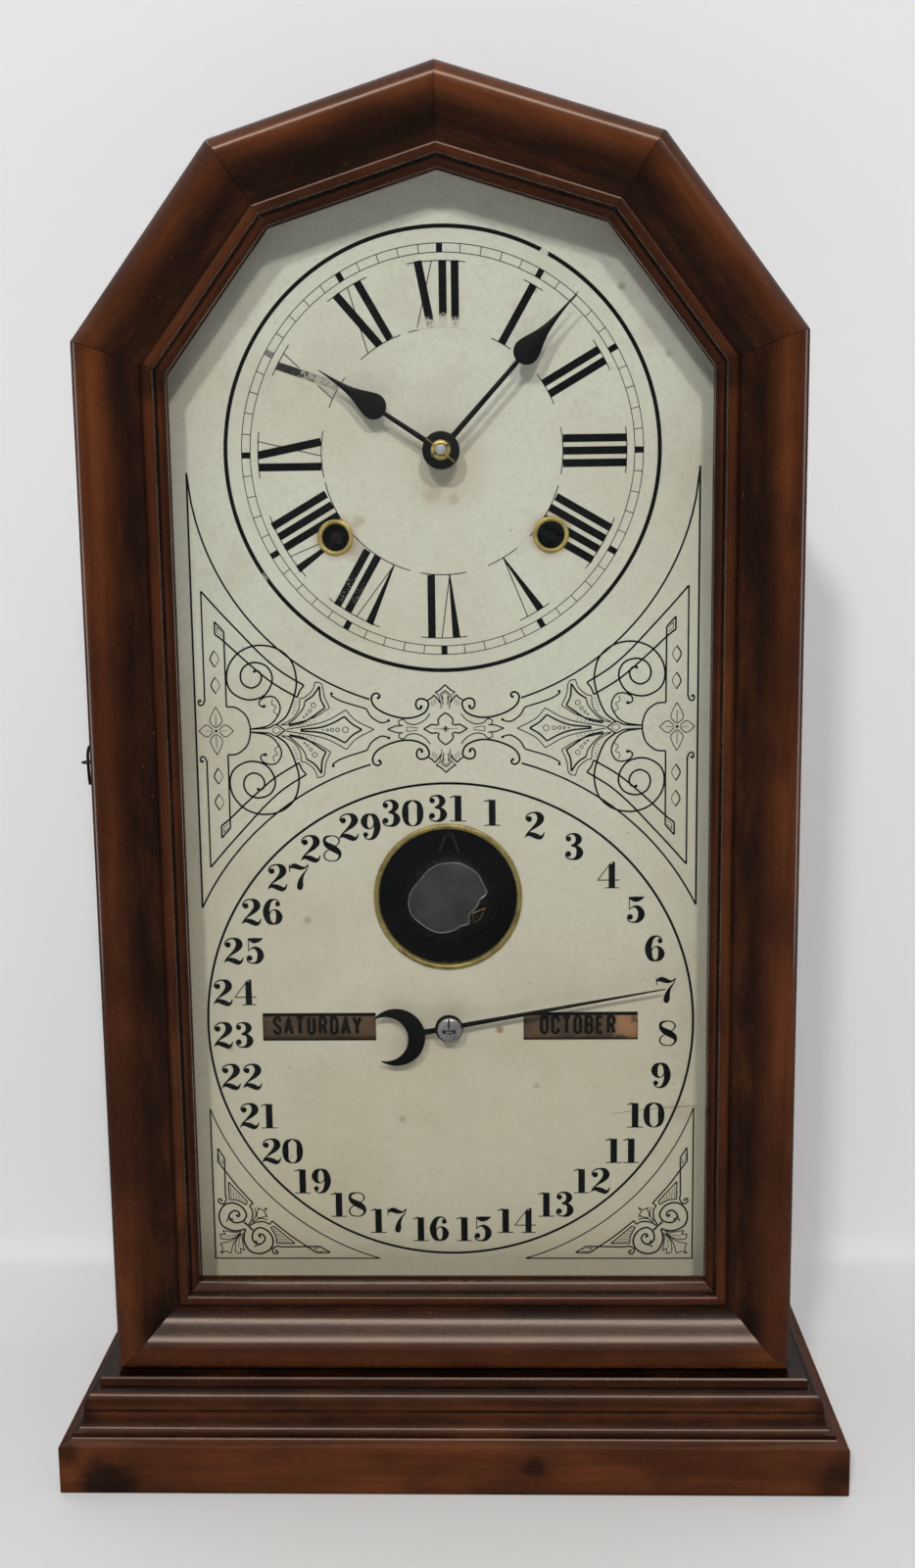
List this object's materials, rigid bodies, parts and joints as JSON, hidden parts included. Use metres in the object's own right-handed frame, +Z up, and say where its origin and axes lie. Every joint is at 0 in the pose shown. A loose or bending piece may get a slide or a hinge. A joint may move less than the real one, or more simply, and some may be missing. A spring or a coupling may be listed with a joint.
{
  "type": "calendar clock",
  "caption": "Shelf calendar clock with a glazed moulded door, a time dial, a date dial with weekday and month rollers, and a pendulum window.",
  "frame": {"origin": "centre of the base's underside, halfway between its sides and between its front and back", "axes": "+X to the right seen from the front, +Y to the back, +Z up"},
  "size_m": [0.314, 0.127, 0.5459],
  "materials": {
    "walnut": "dark reddish walnut under old glossy varnish",
    "pine": "plain planed softwood, aged",
    "glass": "thin old clear glass",
    "dial_paper": "printed pale cream paper on sheet zinc, matt, lightly foxed",
    "blued_steel": "black-blued steel",
    "steel": "plain bright steel, slightly tarnished",
    "brass": "aged brass",
    "cast_iron": "black iron",
    "roller_paper": "wooden drum with a brown printed paper band"
  },
  "bodies": {
    "case": {"base_left_moulding": "walnut", "base_front_moulding": "walnut", "base_right_moulding": "walnut", "base_board": "pine", "case_left_side": "walnut", "case_right_side": "walnut", "roof_left": "walnut", "roof_right": "walnut", "back_board": "pine", "dial_plate": "dial_paper", "pendulum_bezel": "brass", "winding_grommet_left": "brass", "winding_grommet_right": "brass", "hinge_lower_case_leaf": "brass", "hinge_upper_case_leaf": "brass", "front_plate": "brass", "back_plate": "brass", "time_mainspring": "steel", "strike_mainspring": "steel", "gong": "steel", "calendar_frame": "cast_iron"},
    "door": {"door_left_stile": "walnut", "door_lower_left_arch": "walnut", "door_upper_left_arch": "walnut", "door_upper_right_arch": "walnut", "door_lower_right_arch": "walnut", "door_right_stile": "walnut", "door_bottom_rail": "walnut", "door_glass": "glass", "glazing_bead": "walnut", "hinge_lower_door_leaf": "brass", "hinge_upper_door_leaf": "brass", "hook_eye": "brass"},
    "door_hook": {"door_hook": "blued_steel"},
    "centre": {"centre_arbor": "steel", "minute_hand": "blued_steel", "hand_collet": "brass"},
    "hour": {"hour_wheel": "brass", "hour_hand": "blued_steel"},
    "minute_wheel": {"minute_wheel": "brass"},
    "time_winding": {"time_winding_arbor": "steel"},
    "time_great": {"time_great_wheel": "brass"},
    "time_second": {"time_second_wheel": "brass"},
    "third": {"third_wheel": "brass"},
    "escape": {"escape_wheel": "brass"},
    "verge": {"verge": "steel"},
    "pendulum": {"pendulum_rod": "steel", "pendulum_bob": "steel"},
    "strike_winding": {"strike_winding_arbor": "steel"},
    "strike_great": {"strike_great_wheel": "brass"},
    "strike_second": {"strike_second_wheel": "brass"},
    "warning": {"warning_wheel": "brass"},
    "fly": {"fly": "brass"},
    "hammer": {"hammer": "steel"},
    "date": {"date_wheel": "brass", "date_hand": "blued_steel", "date_hand_nut": "steel"},
    "weekday": {"weekday_roller": "roller_paper"},
    "month": {"month_roller": "roller_paper"},
    "lift_rod": {"calendar_lift_rod": "steel"}
  },
  "joints": [
    {"name": "door_hinge", "type": "hinge", "parent": "case", "child": "door", "pos_m": [0.1352, -0.0276, 0.26], "axis": [0, 0, 1], "range_deg": [0, 110]},
    {"name": "hook_pivot", "type": "hinge", "parent": "case", "child": "door_hook", "pos_m": [-0.1394, -0.008, 0.2918], "axis": [-1, 0, 0], "range_deg": [0, 100]},
    {"name": "minute_hand_turn", "type": "hinge", "parent": "case", "child": "centre", "pos_m": [0, 0, 0.41], "axis": [0, 1, 0], "continuous": true},
    {"name": "hour_hand_turn", "type": "hinge", "parent": "case", "child": "hour", "pos_m": [0, 0, 0.41], "axis": [0, 1, 0], "continuous": true},
    {"name": "minute_wheel_turn", "type": "hinge", "parent": "case", "child": "minute_wheel", "pos_m": [0.0075, 0, 0.42299], "axis": [0, 1, 0], "continuous": true},
    {"name": "time_second_turn", "type": "hinge", "parent": "case", "child": "time_second", "pos_m": [0.02225, 0, 0.40101], "axis": [0, 1, 0], "continuous": true},
    {"name": "time_great_turn", "type": "hinge", "parent": "case", "child": "time_great", "pos_m": [0.0425, 0, 0.3778], "axis": [0, 1, 0], "continuous": true},
    {"name": "third_wheel_turn", "type": "hinge", "parent": "case", "child": "third", "pos_m": [-0.01038, 0, 0.38936], "axis": [0, 1, 0], "continuous": true},
    {"name": "escape_wheel_turn", "type": "hinge", "parent": "case", "child": "escape", "pos_m": [0, 0, 0.3725], "axis": [0, 1, 0], "continuous": true},
    {"name": "time_winding_turn", "type": "hinge", "parent": "case", "child": "time_winding", "pos_m": [0.0425, 0, 0.3778], "axis": [0, 1, 0], "continuous": true},
    {"name": "strike_winding_turn", "type": "hinge", "parent": "case", "child": "strike_winding", "pos_m": [-0.0425, 0, 0.3778], "axis": [0, 1, 0], "continuous": true},
    {"name": "pendulum_swing", "type": "hinge", "parent": "case", "child": "pendulum", "pos_m": [0, 0.006, 0.392], "axis": [0, 1, 0], "range_deg": [-4, 4]},
    {"name": "verge_rock", "type": "hinge", "parent": "case", "child": "verge", "pos_m": [0, 0.0105, 0.3895], "axis": [0, 1, 0], "range_deg": [-4.4, 4.4]},
    {"name": "warning_wheel_turn", "type": "hinge", "parent": "case", "child": "warning", "pos_m": [-0.03059, 0, 0.42618], "axis": [0, 1, 0], "continuous": true},
    {"name": "strike_second_turn", "type": "hinge", "parent": "case", "child": "strike_second", "pos_m": [-0.03715, 0, 0.40813], "axis": [0, 1, 0], "continuous": true},
    {"name": "strike_great_turn", "type": "hinge", "parent": "case", "child": "strike_great", "pos_m": [-0.0425, 0, 0.3778], "axis": [0, 1, 0], "continuous": true},
    {"name": "fly_turn", "type": "hinge", "parent": "case", "child": "fly", "pos_m": [-0.01825, 0, 0.43652], "axis": [0, 1, 0], "continuous": true},
    {"name": "hammer_swing", "type": "hinge", "parent": "case", "child": "hammer", "pos_m": [-0.046, 0.04, 0.346], "axis": [0, 1, 0], "range_deg": [-2, 12], "stiffness_Nm_per_rad": 0.02, "springref_deg": -0.57},
    {"name": "date_hand_turn", "type": "hinge", "parent": "case", "child": "date", "pos_m": [0, 0, 0.1792], "axis": [0, 1, 0], "continuous": true},
    {"name": "weekday_roller_turn", "type": "hinge", "parent": "case", "child": "weekday", "pos_m": [-0.05405, -0.0004, 0.1779], "axis": [1, 0, 0], "continuous": true},
    {"name": "month_roller_turn", "type": "hinge", "parent": "case", "child": "month", "pos_m": [0.05405, 0.0091, 0.1779], "axis": [1, 0, 0], "continuous": true},
    {"name": "calendar_lift", "type": "slide", "parent": "case", "child": "lift_rod", "axis": [0, 0, 1], "range_m": [0, 0.008]}
  ],
  "couplings": [
    {"joint": "hour_hand_turn", "follows": "minute_hand_turn", "ratio": 0.083333},
    {"joint": "minute_wheel_turn", "follows": "minute_hand_turn", "ratio": -0.25},
    {"joint": "time_second_turn", "follows": "minute_hand_turn", "ratio": -0.2},
    {"joint": "time_great_turn", "follows": "minute_hand_turn", "ratio": 0.033333},
    {"joint": "third_wheel_turn", "follows": "minute_hand_turn", "ratio": -10},
    {"joint": "escape_wheel_turn", "follows": "minute_hand_turn", "ratio": 100},
    {"joint": "verge_rock", "follows": "pendulum_swing", "ratio": 1.075},
    {"joint": "strike_second_turn", "follows": "warning_wheel_turn", "ratio": -0.14286},
    {"joint": "strike_great_turn", "follows": "warning_wheel_turn", "ratio": 0.02381},
    {"joint": "fly_turn", "follows": "warning_wheel_turn", "ratio": -6.6667}
  ]
}
